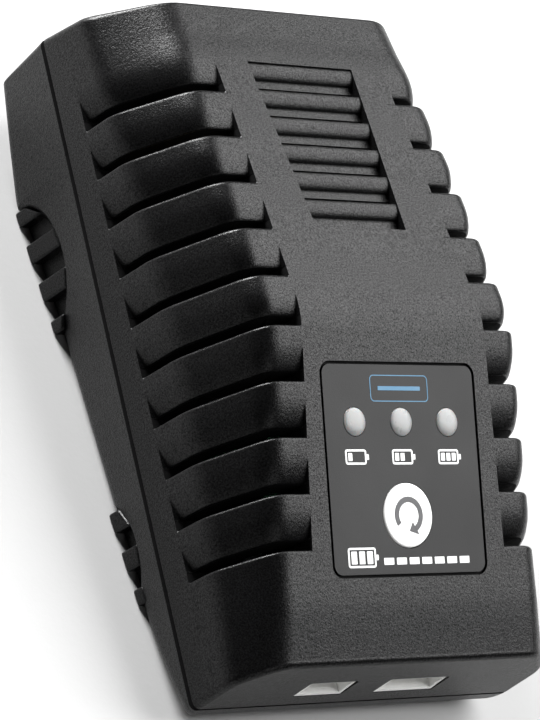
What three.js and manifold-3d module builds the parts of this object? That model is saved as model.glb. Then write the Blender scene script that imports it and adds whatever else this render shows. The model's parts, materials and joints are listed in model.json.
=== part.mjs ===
// Balance battery charger: a compact mains-powered charger for two- and three-cell packs.
//
// Units are millimetres and +Z is up. The origin is the centre of the flat base.
// +Y points to the back, where the mains inlet is. The balance sockets are at -Y.
//
// The two half shells meet on a parting plane that rises to the back. The shells, and
// the sloping panels on top of them, are drawn in their own level frames and then tilted.

import * as THREE from 'three';
import { mergeGeometries, mergeVertices } from 'three/addons/utils/BufferGeometryUtils.js';
import Module from 'manifold-3d';

const wasm = await Module();
wasm.setup();

// ---------------------------------------------------------------- driving dimensions

const PARTING_TILT = THREE.MathUtils.degToRad(8);
const PARTING_LIFT = 13.2;       // height of the parting frame's origin above the base
const BALANCE_SHIFT = -0.628;    // centres the tilted case on Y

const CASE = {
  halfWidth: 30.75,
  frontEnd: 52,
  backEnd: 53,
  wall: 2,
  cornerRadius: 1.2,
  innerCornerRadius: 0.8,
  partingGap: 0.6,
  ridgeY: -1.5,
  ridgeZ: 27.65,
  frontSlope: THREE.MathUtils.degToRad(14.25),
  backSlope: THREE.MathUtils.degToRad(9.05),
  frontLean: 0.091,
  backLean: 0.095,
  sideTaper: 0.22,
  sideTaperBack: 0.115,
};

const NOTCH = {
  count: 10,
  firstY: 35.5,
  pitch: 7.8,
  rampLength: 5,
  rampDepth: 1.15,
  slotWidth: 1.5,
  topInnerBack: 16.6,
  topInnerFront: 18.6,
  lowerZ: 5.6,
};

const VENT = {
  near: 14.5, far: 43.2, halfNear: 8.8, halfFar: 10.2, slats: 6, gap: 1.1, thickness: 1.6,
};

// The lower shell's underside: flat between the bevels, which rise to the two ends.
const BASE = { frontBevel: -38, frontEndZ: -3.4, backBevel: 33, backEndY: 52, backEndZ: -14.4 };
const UNDERSIDE_VENTS = [6, 10, 14, 18];

// Two arched, ribbed grips in the foot of each long side, given in the parting frame.
const GRIPS = [
  { from: 10.6, to: 32.6, crown: -8.6, rib: 28.8, floor: 26.9, ribs: [11.8, 18.3, 24.8, 31.2] },
  { from: -34.2, to: -17.4, crown: -5.8, rib: 29.5, floor: 27.7, ribs: [-32.7, -26.6, -20.4] },
];
const RIB = { width: 3.2, lift: 0.1 };

// Distances down the sloping front panel, from the ridge.
const PANEL = {
  labelTop: 7.2,
  labelBottom: 38.5,
  labelHalfWidth: 14.97,
  labelCorner: 2,
  recess: 0.6,
  ledDistance: 16,
  ledSpacing: 8.97,
  ledHole: 2.3,
  buttonDistance: 29.6,
  buttonHole: 5,
};

const BUTTON = { radius: 4.7, proud: 0.6, flangeRadius: 6, travel: 0.4 };

const SWITCH = { size: 6, top: -3.95, plungerRadius: 1.7, boreRadius: 1.9 };

const BOARD = { top: 8.2, thickness: 1.6, halfWidth: 24.5, front: -47.5, back: 44.5 };
const STANDOFFS = [[-8, 27], [8, -24]];
const FRONT_BOARD = { depth: 7.7, thickness: 1.2, from: 11, to: 35.5, halfWidth: 13.8 };
const FRONT_SCREWS = [-11, 11];
const FRONT_SCREW_DISTANCE = 23;

const SOCKET = {
  face: -52.2, z: 11.7, height: 4.6, mouthHeight: 3.4, depth: 10, mouthDepth: 8.2, wall: 0.6,
};
const SOCKETS = [
  { name: 'balance_socket_2s', x: -10.2, pins: 3 },
  { name: 'balance_socket_3s', x: 6.3, pins: 4 },
];
const PIN_PITCH = 2.5;
const PIN_SIZE = 0.64;

const INLET = {
  z: 14.9, width: 20, height: 12.4, face: 51.9, depth: 15, lobe: 4, pinSpacing: 8.6,
  pinRadius: 1.2, mouthDepth: 10.5,
};

// Screw bosses: seat is the height of the screw head's seat, meet where the halves meet.
const BACK_BOSS = { y: 38, seat: 4.4, meet: 22.5 };
const FRONT_BOSS = { y: -33.8, seat: 2.8, meet: 11.8 };
const BOSSES = [BACK_BOSS, FRONT_BOSS].flatMap((boss) => (
  [20.6, -20.6].map((x) => ({ x, ...boss }))
));
const SCREW = { shaft: 1.3, head: 2.9, headHeight: 1.9, bore: 1.6, boss: 3.4, recess: 3.3 };

const CHOKE = { x: 7.5, y: 25.5, width: 18, height: 15, depth: 4, leg: 4 };
const TRANSFORMER = { x: 1, y: 4, width: 25, depth: 7, height: 21, leg: 6.4, side: 3.4 };

// GAP is the clearance between neighbours. Cutters and blanks reach FAR past the case,
// and WIDE past its sides.
const GAP = 0.3;
const FAR = 60;
const WIDE = 40;

// ---------------------------------------------------------------- materials

const makeMaterial = (color, roughness, metalness = 0) => (
  new THREE.MeshStandardMaterial({ color, roughness, metalness })
);

const MATERIALS = {
  shell: makeMaterial(0x2b2c2e, 0.62),
  overlay: makeMaterial(0x3a3b3d, 0.45),
  white: makeMaterial(0xf1f1ee, 0.4),
  milky: makeMaterial(0xe4e6e6, 0.35),
  nylon: makeMaterial(0xeae8df, 0.5),
  black: makeMaterial(0x17181a, 0.5),
  circuitBoard: makeMaterial(0x1d5a36, 0.5),
  steel: makeMaterial(0xb9bcbf, 0.35, 1),
  tin: makeMaterial(0xc9c8c2, 0.3, 1),
  aluminium: makeMaterial(0xb4b7ba, 0.4, 1),
  ferrite: makeMaterial(0x3a3a3c, 0.55),
  copper: makeMaterial(0xb4652e, 0.35, 1),
  tape: makeMaterial(0xd8b93a, 0.4),
  blue: makeMaterial(0x2b55a0, 0.45),
  brown: makeMaterial(0x5a3220, 0.5),
  clear: makeMaterial(0xcfe4d8, 0.2),
};

// ---------------------------------------------------------------- solids

function toSolid(geometry) {
  const bare = geometry.index ? geometry.clone() : geometry;
  bare.deleteAttribute('normal');
  bare.deleteAttribute('uv');
  const merged = mergeVertices(bare, 1e-4);
  return new wasm.Manifold(new wasm.Mesh({
    numProp: 3,
    vertProperties: new Float32Array(merged.attributes.position.array),
    triVerts: new Uint32Array(merged.index.array),
  }));
}

function toGeometry(solid) {
  const mesh = solid.getMesh();
  const geometry = new THREE.BufferGeometry();
  geometry.setAttribute('position', new THREE.BufferAttribute(mesh.vertProperties, 3));
  geometry.setIndex(new THREE.BufferAttribute(mesh.triVerts, 1));
  return geometry;
}

function combine(method, base, others) {
  const solid = others.reduce((sum, other) => sum[method](toSolid(other)), toSolid(base));
  return toGeometry(solid);
}

const cut = (base, ...others) => combine('subtract', base, others);
const join = (base, ...others) => combine('add', base, others);
const common = (base, ...others) => combine('intersect', base, others);

const box = (x0, x1, y0, y1, z0, z1) => (
  new THREE.BoxGeometry(x1 - x0, y1 - y0, z1 - z0)
    .translate((x0 + x1) / 2, (y0 + y1) / 2, (z0 + z1) / 2)
);

const centredBox = (x, y, width, length, z0, z1) => (
  box(x - width / 2, x + width / 2, y - length / 2, y + length / 2, z0, z1)
);

// An upright cylinder from z0 to z1.
const cylinder = (x, y, radius, z0, z1, sides = 20) => (
  new THREE.CylinderGeometry(radius, radius, z1 - z0, sides)
    .rotateX(Math.PI / 2)
    .translate(x, y, (z0 + z1) / 2)
);

// A cylinder along Y from y0 to y1.
const rod = (x, z, radius, y0, y1, sides = 20) => (
  new THREE.CylinderGeometry(radius, radius, y1 - y0, sides).translate(x, (y0 + y1) / 2, z)
);

// A solid of revolution about Z through (x, y); the profile holds [radius, z] pairs.
const turned = (x, y, profile, sides = 20) => (
  new THREE.LatheGeometry(profile.map(([r, z]) => new THREE.Vector2(r, z)), sides)
    .rotateX(Math.PI / 2)
    .translate(x, y, 0)
);

// Outlines are arrays of [a, b] pairs; this one's corners are rounded.
function roundedOutline(corners, radius, steps = 3) {
  const points = [];
  corners.forEach(([x, y], index) => {
    const here = new THREE.Vector2(x, y);
    const before = new THREE.Vector2(...corners.at(index - 1));
    const after = new THREE.Vector2(...corners[(index + 1) % corners.length]);
    const towardsBefore = before.sub(here).normalize();
    const towardsAfter = after.sub(here).normalize();
    const halfAngle = Math.acos(towardsBefore.dot(towardsAfter)) / 2;
    const reach = radius / Math.tan(halfAngle);
    const start = here.clone().addScaledVector(towardsBefore, reach);
    const end = here.clone().addScaledVector(towardsAfter, reach);
    for (let step = 0; step <= steps; step += 1) {
      const t = step / steps;
      points.push(['x', 'y'].map((axis) => (
        (1 - t) ** 2 * start[axis] + 2 * t * (1 - t) * here[axis] + t ** 2 * end[axis]
      )));
    }
  });
  return points;
}

const rectangle = (x0, x1, y0, y1) => [[x0, y0], [x1, y0], [x1, y1], [x0, y1]];

const extrude = (outline, depth) => new THREE.ExtrudeGeometry(
  new THREE.Shape(outline.map(([a, b]) => new THREE.Vector2(a, b))),
  { depth, bevelEnabled: false },
);

// A prism over an outline in the XY plane, from z0 to z1.
const upright = (outline, z0, z1) => extrude(outline, z1 - z0).translate(0, 0, z0);

// A prism over a side outline of (y, z) points, from x0 to x1.
const sideways = (outline, x0, x1) => (
  extrude(outline, x1 - x0)
    .applyMatrix4(new THREE.Matrix4().set(0, 0, 1, x0, 1, 0, 0, 0, 0, 1, 0, 0, 0, 0, 0, 1))
);

// A prism over an end outline of (x, z) points, from y0 to y1.
const lengthways = (outline, y0, y1) => (
  extrude(outline, y1 - y0).rotateX(Math.PI / 2).translate(0, y1, 0)
);

// A closed loft through convex rings of [x, z] points; each station is { y, ring }.
function loft(stations) {
  const sides = stations[0].ring.length;
  const positions = stations.flatMap(({ y, ring }) => ring.flatMap(([x, z]) => [x, y, z]));
  const indices = [];
  for (let row = 0; row < stations.length - 1; row += 1) {
    for (let side = 0; side < sides; side += 1) {
      const next = (side + 1) % sides;
      const [a, b] = [row * sides + side, row * sides + next];
      indices.push(a, a + sides, b, b, a + sides, b + sides);
    }
  }
  for (const [row, flip] of [[0, false], [stations.length - 1, true]]) {
    const start = row * sides;
    const face = stations[row].ring.map(([x, z]) => new THREE.Vector2(x, z));
    for (const [a, b, c] of THREE.ShapeUtils.triangulateShape(face, [])) {
      indices.push(start + a, start + (flip ? c : b), start + (flip ? b : c));
    }
  }
  const geometry = new THREE.BufferGeometry();
  geometry.setAttribute('position', new THREE.Float32BufferAttribute(positions, 3));
  geometry.setIndex(indices);
  return geometry;
}

// ---------------------------------------------------------------- frames

const toRow = (geometry) => (
  geometry.rotateX(PARTING_TILT).translate(0, BALANCE_SHIFT, PARTING_LIFT)
);

const partingFromFrontPanel = (geometry) => (
  geometry.rotateX(CASE.frontSlope).translate(0, CASE.ridgeY, CASE.ridgeZ)
);

const partingFromBackPanel = (geometry) => (
  geometry.rotateX(-CASE.backSlope).translate(0, CASE.ridgeY, CASE.ridgeZ)
);

// On the front panel, Y runs up the slope from the ridge and Z out of the panel.
const onFrontPanel = (geometry) => toRow(partingFromFrontPanel(geometry));

// Row-frame solids brought into the parting frame, for cutting the shells.
const fromRow = (geometry) => (
  geometry.translate(0, -BALANCE_SHIFT, -PARTING_LIFT).rotateX(-PARTING_TILT)
);

// ---------------------------------------------------------------- case surfaces

const { lerp } = THREE.MathUtils;

function topHeight(y) {
  const slope = y < CASE.ridgeY ? CASE.frontSlope : CASE.backSlope;
  return CASE.ridgeZ - Math.abs(y - CASE.ridgeY) * Math.tan(slope);
}

function topHalfWidth(y) {
  return y > 25 ? lerp(23.5, 20.8, (y - 25) / 27) : lerp(24.9, 23.5, (y + 52) / 77);
}

// Half of the upper section at one station, from the parting edge to the top centre.
function upperHalfSection(y, inset = 0) {
  const top = topHeight(y) - inset;
  const shoulder = 4.5 + 0.35 * topHeight(y);
  const wall = CASE.halfWidth - inset;
  const edge = topHalfWidth(y) - inset * 0.6;
  return [
    [wall, -2],
    [wall, 0],
    [wall - 0.1, shoulder - 2.2],
    [wall - 0.55, shoulder - 0.2],
    [lerp(wall - 0.55, edge, 0.12), lerp(shoulder, top, 0.12)],
    [lerp(wall - 0.55, edge, 0.9), lerp(shoulder, top, 0.86)],
    [edge - 0.5, top - 0.5],
    [edge - 2.2, top],
  ];
}

const mirrored = (half) => [...half, ...half.map(([x, z]) => [-x, z]).reverse()];

function upperBody(inset) {
  const stations = [-54, CASE.ridgeY - 3, CASE.ridgeY, CASE.ridgeY + 3, 25, 54];
  const hull = loft(stations.map((y) => ({
    y,
    ring: mirrored(upperHalfSection(y, inset + (y === CASE.ridgeY ? 0.15 : 0))),
  })));
  const [front, back] = [inset - CASE.frontEnd, CASE.backEnd - inset];
  const high = 34;
  const frontTop = [front + CASE.frontLean * high, high];
  const backTop = [back - CASE.backLean * high, high];
  const sideOutline = [[front, -3], [back, -3], [back, 0], backTop, frontTop, [front, 0]];
  const endWalls = sideways(sideOutline, -WIDE, WIDE);
  return common(hull, endWalls, upright(planOutline(inset), -3, FAR));
}

function planOutline(inset) {
  const halfWidth = CASE.halfWidth - inset;
  const radius = Math.max(CASE.cornerRadius - inset, CASE.innerCornerRadius);
  return roundedOutline(
    rectangle(-halfWidth, halfWidth, inset - CASE.frontEnd, CASE.backEnd - inset), radius,
  );
}

// The underside's height in the parting frame, along the flat base.
const baseZ = (y) => -(PARTING_LIFT + y * Math.sin(PARTING_TILT)) / Math.cos(PARTING_TILT);

// The side walls lean in towards the base, and less so from y = 20 to y = 33.
function lowerSection(y, inset) {
  const deep = 19;
  const blend = THREE.MathUtils.clamp((y - 20) / 13, 0, 1);
  const wall = CASE.halfWidth - inset;
  const foot = wall - deep * lerp(CASE.sideTaper, CASE.sideTaperBack, blend);
  return mirrored([[foot, -deep], [wall, 0], [wall, 2]]);
}

function lowerBody(inset) {
  const [front, back] = [inset - CASE.frontEnd, CASE.backEnd - inset];
  const profile = [
    [back, 2],
    [front, 2],
    [front, BASE.frontEndZ + inset * 0.6],
    [BASE.frontBevel, baseZ(BASE.frontBevel) + inset],
    [BASE.backBevel, baseZ(BASE.backBevel) + inset],
    [BASE.backEndY - inset, BASE.backEndZ + inset],
    [back, 0],
  ];
  const hull = loft([-FAR, 20, 33, FAR].map((y) => ({ y, ring: lowerSection(y, inset) })));
  return common(
    sideways(profile, -WIDE, WIDE),
    hull,
    upright(planOutline(inset), -FAR, 2),
  );
}

// ---------------------------------------------------------------- upper shell

// The band of the upper surface that a notch crosses, as a closed ring of [x, z] points.
function notchRing(y, index, side, depth, over) {
  const inner = lerp(NOTCH.topInnerBack, NOTCH.topInnerFront, index / (NOTCH.count - 1));
  const half = upperHalfSection(y);
  const surface = [[half[2][0], NOTCH.lowerZ], half[3], half[5], half[7], [inner, topHeight(y)]];
  const outwards = [[1, 0], [1, 0.1], [0.8, 0.6], [0.3, 1], [0, 1]];
  const offset = (distance) => surface.map(([x, z], i) => (
    [x + outwards[i][0] * distance, z + outwards[i][1] * distance]
  ));
  const ring = [...offset(over), ...offset(-depth).reverse()];
  return side > 0 ? ring : ring.map(([x, z]) => [-x, z]).reverse();
}

function notch(index, side) {
  const y = NOTCH.firstY - NOTCH.pitch * index;
  const through = CASE.wall + 2.5;
  const ramp = loft([
    { y, ring: notchRing(y, index, side, NOTCH.rampDepth, 2) },
    { y: y + NOTCH.rampLength, ring: notchRing(y + NOTCH.rampLength, index, side, 0.01, 2) },
  ]);
  const slot = loft([
    { y, ring: notchRing(y, index, side, through, 1) },
    { y: y + NOTCH.slotWidth, ring: notchRing(y + NOTCH.slotWidth, index, side, through, 1) },
  ]);
  return join(ramp, slot);
}

// The vent in the back panel: a tapered opening, bridged by rounded slats.
function ventOpening() {
  const { near, far, halfNear, halfFar } = VENT;
  const corners = [[-halfNear, near], [halfNear, near], [halfFar, far], [-halfFar, far]];
  return partingFromBackPanel(upright(roundedOutline(corners, 1.2), -CASE.wall - 2, 2));
}

function ventSlat(index) {
  const pitch = (VENT.far - VENT.near) / VENT.slats;
  const start = VENT.near + pitch * index + VENT.gap / 2;
  const end = start + pitch - VENT.gap;
  const low = -0.3 - VENT.thickness;
  const outline = [
    [start, low], [end, low], [end, -0.9], [lerp(start, end, 0.72), -0.2],
    [lerp(start, end, 0.3), -0.2], [start, -0.9],
  ];
  const reach = lerp(VENT.halfNear, VENT.halfFar, (index + 0.5) / VENT.slats) + 0.8;
  return partingFromBackPanel(sideways(outline, -reach, reach));
}

function panelHole(x, distance, radius) {
  return partingFromFrontPanel(cylinder(x, -distance, radius, -5, 2, 20));
}

function labelRecess() {
  const { labelHalfWidth: half, labelTop, labelBottom, labelCorner, recess } = PANEL;
  const outline = roundedOutline(rectangle(-half, half, -labelBottom, -labelTop), labelCorner);
  return partingFromFrontPanel(upright(outline, -recess, 2));
}

function socketOpening({ x, pins }) {
  const half = socketWidth(pins) / 2 + GAP;
  const halfHeight = SOCKET.height / 2 + GAP;
  return fromRow(box(x - half, x + half, -FAR, -46, SOCKET.z - halfHeight, SOCKET.z + halfHeight));
}

function inletOpening() {
  const half = INLET.width / 2 + GAP;
  const halfHeight = INLET.height / 2 + GAP;
  const outline = rectangle(-half, half, INLET.z - halfHeight, INLET.z + halfHeight);
  return fromRow(lengthways(roundedOutline(outline, 2), 45, FAR));
}

function upperBosses() {
  return BOSSES.map(({ x, y, meet }) => common(
    fromRow(cylinder(x, y, SCREW.boss, meet, 45, 16)),
    upperBody(CASE.wall / 2),
  ));
}

function upperShell() {
  const screwBores = BOSSES.map(({ x, y, meet }) => (
    fromRow(cylinder(x, y, SCREW.bore, meet - 1, meet + 9, 12))
  ));
  const boardPosts = FRONT_SCREWS.map((x) => partingFromFrontPanel(
    cylinder(x, -FRONT_SCREW_DISTANCE, 2.4, -FRONT_BOARD.depth + GAP, -CASE.wall + 0.5, 16),
  ));
  const postBores = FRONT_SCREWS.map((x) => partingFromFrontPanel(
    cylinder(x, -FRONT_SCREW_DISTANCE, 1.3, -FRONT_BOARD.depth, -CASE.wall - 0.7, 12),
  ));
  const trim = box(-WIDE, WIDE, -FAR, FAR, -FAR, CASE.partingGap / 2);
  const hollow = cut(upperBody(0), upperBody(CASE.wall), trim, ventOpening());
  const slats = Array.from({ length: VENT.slats }, (_, index) => ventSlat(index));
  const notches = [-1, 1].flatMap((side) => (
    Array.from({ length: NOTCH.count }, (_, index) => notch(index, side))
  ));
  const leds = [-1, 0, 1].map((step) => (
    panelHole(step * PANEL.ledSpacing, PANEL.ledDistance, PANEL.ledHole)
  ));
  return cut(
    join(hollow, ...slats, ...upperBosses(), ...boardPosts),
    ...notches,
    ...leds,
    ...screwBores,
    ...postBores,
    ...SOCKETS.map(socketOpening),
    labelRecess(),
    panelHole(0, PANEL.buttonDistance, PANEL.buttonHole),
    inletOpening(),
  );
}

// ---------------------------------------------------------------- lower shell

function archOutline({ from, to, crown }) {
  const deep = -24;
  const middle = (from + to) / 2;
  const half = (to - from) / 2;
  const foot = baseZ(middle) - 1.5;
  const arc = Array.from({ length: 11 }, (_, step) => {
    const angle = (Math.PI * step) / 10;
    return [middle + half * Math.cos(angle), foot + (crown - foot) * Math.sin(angle)];
  });
  return [[from, deep], [to, deep], ...arc];
}

function gripRecess(grip, side) {
  const [near, far] = side > 0 ? [grip.floor, WIDE] : [-WIDE, -grip.floor];
  return sideways(archOutline(grip), near, far);
}

function gripRibs(grip, side) {
  const { from, to } = grip;
  const low = (y) => baseZ(y) + RIB.lift;
  const arch = sideways(archOutline(grip), -WIDE, WIDE);
  const aboveBase = sideways([[from, low(from)], [to, low(to)], [to, 0], [from, 0]], -WIDE, WIDE);
  const [near, far] = side > 0 ? [grip.floor - 1, grip.rib] : [-grip.rib, 1 - grip.floor];
  return grip.ribs.map((y) => (
    common(box(near, far, y - RIB.width / 2, y + RIB.width / 2, -FAR, 0), arch, aboveBase)
  ));
}

// Extra wall behind each grip, so that the recess doesn't break through the shell.
function gripBacking(grip, side) {
  const { from, to, crown, floor } = grip;
  const outline = archOutline({ from: from - 1, to: to + 1, crown: crown + 1 });
  const [near, far] = side > 0 ? [floor - 1.6, 31] : [-31, 1.6 - floor];
  return common(sideways(outline, near, far), lowerBody(0.2));
}

function lowerShell() {
  const { wall, partingGap } = CASE;
  const lipOuter = upright(planOutline(wall + GAP), -1.5, 1.4);
  const lipInner = upright(planOutline(wall + GAP + 1), -4, 3);
  const bosses = BOSSES.map(({ x, y, seat, meet }) => (
    fromRow(cylinder(x, y, SCREW.boss + 0.6, seat - 2, meet - GAP, 16))
  ));
  const bores = BOSSES.flatMap(({ x, y, seat }) => [
    fromRow(cylinder(x, y, SCREW.bore, -5, 30, 12)),
    fromRow(cylinder(x, y, SCREW.recess, -5, seat, 16)),
  ]);
  const standoffs = STANDOFFS.map(([x, y]) => (
    fromRow(cylinder(x, y, 2.5, 1, BOARD.top - BOARD.thickness - GAP, 12))
  ));
  const vents = UNDERSIDE_VENTS.map((y) => (
    fromRow(upright(roundedOutline(rectangle(-11, 11, y - 0.8, y + 0.8), 0.7, 2), -3, 5))
  ));
  const ratingRecess = fromRow(upright(
    roundedOutline(rectangle(-18.3, 18.3, -26.3, -1.7), 1.5), -3, 0.8,
  ));
  const lid = box(-WIDE, WIDE, -FAR, FAR, -partingGap / 2, 10);
  const shell = cut(lowerBody(0), lowerBody(wall), lid);
  const lip = cut(lipOuter, lipInner);
  const recesses = GRIPS.flatMap((grip) => [-1, 1].map((side) => gripRecess(grip, side)));
  const ribs = GRIPS.flatMap((grip) => [-1, 1].flatMap((side) => gripRibs(grip, side)));
  const backing = GRIPS.flatMap((grip) => [-1, 1].map((side) => gripBacking(grip, side)));
  return cut(
    join(cut(join(shell, lip, ...backing), ...recesses), ...ribs, ...bosses, ...standoffs),
    ...bores,
    ...vents,
    ratingRecess,
    inletOpening(),
    ...SOCKETS.map(socketOpening),
  );
}

// ---------------------------------------------------------------- panel pieces

function labelOverlay() {
  const { labelHalfWidth, labelTop, labelBottom, labelCorner, recess } = PANEL;
  const half = labelHalfWidth - GAP;
  const outline = roundedOutline(
    rectangle(-half, half, GAP - labelBottom, -labelTop - GAP), labelCorner,
  );
  const holes = [-1, 0, 1].map((step) => (
    cylinder(step * PANEL.ledSpacing, -PANEL.ledDistance, PANEL.ledHole, -2, 2)
  ));
  const buttonHole = cylinder(0, -PANEL.buttonDistance, PANEL.buttonHole, -2, 2);
  return onFrontPanel(cut(upright(outline, GAP - recess, -0.02), ...holes, buttonHole));
}

function modeButton() {
  const { radius, proud, flangeRadius } = BUTTON;
  const flangeTop = -CASE.wall - BUTTON.travel;
  return onFrontPanel(turned(0, -PANEL.buttonDistance, [
    [0, flangeTop - 0.7], [flangeRadius, flangeTop - 0.7], [flangeRadius, flangeTop],
    [radius, flangeTop], [radius, proud - 0.3], [radius - 0.3, proud], [0, proud],
  ], 28));
}

function switchBody() {
  const y = -PANEL.buttonDistance;
  const low = -FRONT_BOARD.depth + GAP;
  return onFrontPanel(cut(
    centredBox(0, y, SWITCH.size, SWITCH.size, low, SWITCH.top),
    cylinder(0, y, SWITCH.boreRadius, low + 1, 0, 16),
  ));
}

function switchPlunger() {
  const top = -CASE.wall - BUTTON.travel - 0.7 - GAP;
  return onFrontPanel(cylinder(0, -PANEL.buttonDistance, SWITCH.plungerRadius, -5.8, top, 16));
}

function ledWindow(step) {
  const radius = PANEL.ledHole - 0.15;
  return onFrontPanel(turned(step * PANEL.ledSpacing, -PANEL.ledDistance, [
    [0, -3], [3, -3], [3, -CASE.wall - GAP], [radius, -CASE.wall - GAP], [radius, 0],
    [radius * 0.7, 0.25], [0, 0.35],
  ], 16));
}

function led(step) {
  return onFrontPanel(turned(step * PANEL.ledSpacing, -PANEL.ledDistance, [
    [0, -7.4], [1.7, -7.4], [1.7, -6.6], [1.5, -6.6], [1.5, -4.6], [1, -3.7], [0, -3.4],
  ], 12));
}

function frontBoard() {
  const { depth, thickness, from, to, halfWidth } = FRONT_BOARD;
  const outline = rectangle(-halfWidth, halfWidth, -to, -from);
  const holes = FRONT_SCREWS.map((x) => cylinder(x, -FRONT_SCREW_DISTANCE, 1.4, -12, 0, 12));
  return onFrontPanel(cut(upright(outline, -depth - thickness, -depth), ...holes));
}

function frontBoardScrew(x) {
  const low = -FRONT_BOARD.depth - FRONT_BOARD.thickness - GAP;
  return onFrontPanel(turned(x, -FRONT_SCREW_DISTANCE, [
    [0, low - 1.3], [1.9, low - 1.3], [2.2, low], [1, low], [1, low + 5], [0, low + 5.6],
  ], 12));
}

// A flat ribbon from the underside of the front board down to the main board.
function boardRibbon() {
  const thick = 0.6;
  const path = [[-9.6, 27.6], [-6, 22.5], [-8.5, 16], [-6.5, 12], [-6.5, BOARD.top + GAP]];
  const back = path.map(([y, z]) => [y + thick, z]).reverse();
  const outline = [...path, ...back];
  return sideways(outline, -4, 4);
}

// ---------------------------------------------------------------- sockets and inlet

const socketWidth = (pins) => (pins - 1) * PIN_PITCH + 3.9;

function socketHousing({ x, pins }) {
  const half = socketWidth(pins) / 2;
  const { face, z, height, mouthHeight, depth, mouthDepth, wall } = SOCKET;
  const body = box(x - half, x + half, face, face + depth, z - height / 2, z + height / 2);
  const mouth = box(
    x - half + wall, x + half - wall, face - 1, face + mouthDepth,
    z - mouthHeight / 2, z + mouthHeight / 2,
  );
  const keyways = [-1, 1].map((side) => centredBox(
    x + side * (half - wall - 1.1), face, 0.9, 10, z + mouthHeight / 2 - 0.5, z + height / 2 + 1,
  ));
  const reach = PIN_SIZE / 2 + GAP;
  const bores = pinPositions({ x, pins }).map((pinX) => (
    box(pinX - reach, pinX + reach, face, face + depth + 1, z - reach, z + reach)
  ));
  return cut(body, mouth, ...keyways, ...bores);
}

const pinPositions = ({ x, pins }) => (
  Array.from({ length: pins }, (_, index) => x + (index - (pins - 1) / 2) * PIN_PITCH)
);

// A square pin that runs back through the housing and bends down to the board.
function socketPin(x) {
  const half = PIN_SIZE / 2;
  const tip = SOCKET.face + 1.4;
  const back = SOCKET.face + SOCKET.depth + 1.6;
  const outline = [
    [tip, SOCKET.z - half], [back - PIN_SIZE, SOCKET.z - half], [back - PIN_SIZE, BOARD.top + GAP],
    [back, BOARD.top + GAP], [back, SOCKET.z + half], [tip, SOCKET.z + half],
  ];
  return sideways(outline, x - half, x + half);
}

function inletBody() {
  const { z, width, height, face, depth, lobe, pinSpacing, pinRadius, mouthDepth } = INLET;
  const outline = roundedOutline(
    rectangle(-width / 2, width / 2, z - height / 2, z + height / 2), 1.8,
  );
  const body = lengthways(outline, face - depth, face);
  const lobes = [-1, 1].map((side) => (
    rod(side * pinSpacing / 2, z, lobe, face - mouthDepth, face + 2, 24)
  ));
  const waist = box(
    -pinSpacing / 2, pinSpacing / 2, face - mouthDepth, face + 2, z - lobe + 1, z + lobe - 1,
  );
  const bores = [-1, 1].map((side) => (
    rod(side * pinSpacing / 2, z, pinRadius + GAP, face - depth - 1, face, 12)
  ));
  return cut(body, ...lobes, waist, ...bores);
}

function inletPin(side) {
  const { z, face, depth, pinSpacing, pinRadius } = INLET;
  const x = side * pinSpacing / 2;
  const back = face - depth - 1.6;
  return join(
    rod(x, z, pinRadius, back, face - 1.8, 14),
    cylinder(x, back, pinRadius, BOARD.top + GAP, z + pinRadius * 0.9, 14),
  );
}

// ---------------------------------------------------------------- main board and its parts

const DECK = BOARD.top + GAP;

function mainBoard() {
  const { top, thickness, halfWidth, front, back } = BOARD;
  const outline = roundedOutline(rectangle(-halfWidth, halfWidth, front, back), 2, 2);
  const holes = BOSSES.map(({ x, y }) => cylinder(x, y, SCREW.boss + 1, -5, 20));
  const cornerCuts = BOSSES.map(({ x, y }) => centredBox(
    x + Math.sign(x) * 4, y, 8, 2 * SCREW.boss + 2, -5, 20,
  ));
  return cut(upright(outline, top - thickness, top), ...holes, ...cornerCuts);
}

const leads = (x, y, spacing, top) => [-1, 1].map((side) => (
  cylinder(x + side * spacing / 2, y, 0.4, DECK, top, 8)
));

// An upright electrolytic can with a rolled groove near its foot.
function can(x, y, radius, height) {
  return turned(x, y, [
    [0, DECK], [radius, DECK], [radius, DECK + 1.6], [radius - 0.5, DECK + 2.2],
    [radius, DECK + 2.8], [radius, DECK + height - 0.6], [radius - 0.6, DECK + height],
    [0, DECK + height],
  ], 16);
}

// An upright disc, thin along Y, standing on two leads.
function disc(x, y, radius, thickness, spacing) {
  const centre = DECK + 2.5 + radius;
  return join(
    rod(x, centre, radius, y - thickness / 2, y + thickness / 2, 20),
    ...leads(x, y, spacing, centre - radius * 0.5),
  );
}

// A power transistor on three legs, with its tab facing +X or -X.
function powerTransistor(x, y, side) {
  const low = DECK + 4;
  const tabX = x + side * 1.6;
  return join(
    centredBox(x, y, 4.4, 10, low, low + 9),
    centredBox(tabX, y, 1.2, 10, low + 8, low + 15),
    ...[-2.5, 0, 2.5].map((step) => centredBox(x - side * 0.5, y + step, 0.6, 0.9, DECK, low + 1)),
  );
}

// An upright plate on a foot, with three fins, behind a power transistor.
function heatsink(x, y, length, height) {
  const plate = centredBox(x, y, 1.5, length, DECK, DECK + height);
  const foot = centredBox(x, y, 5, length, DECK, DECK + 1.5);
  const fins = [-0.35, 0, 0.35].map((step) => (
    centredBox(x, y + step * length, 3, 1.2, DECK, DECK + height)
  ));
  return join(plate, foot, ...fins);
}

function chokeCore() {
  const { x, y, width, height, depth, leg } = CHOKE;
  const low = DECK + 1.6;
  return cut(
    centredBox(x, y, width, depth, low, low + height),
    centredBox(x, y, width - 2 * leg, depth + 2, low + leg, low + height - leg),
  );
}

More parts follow.
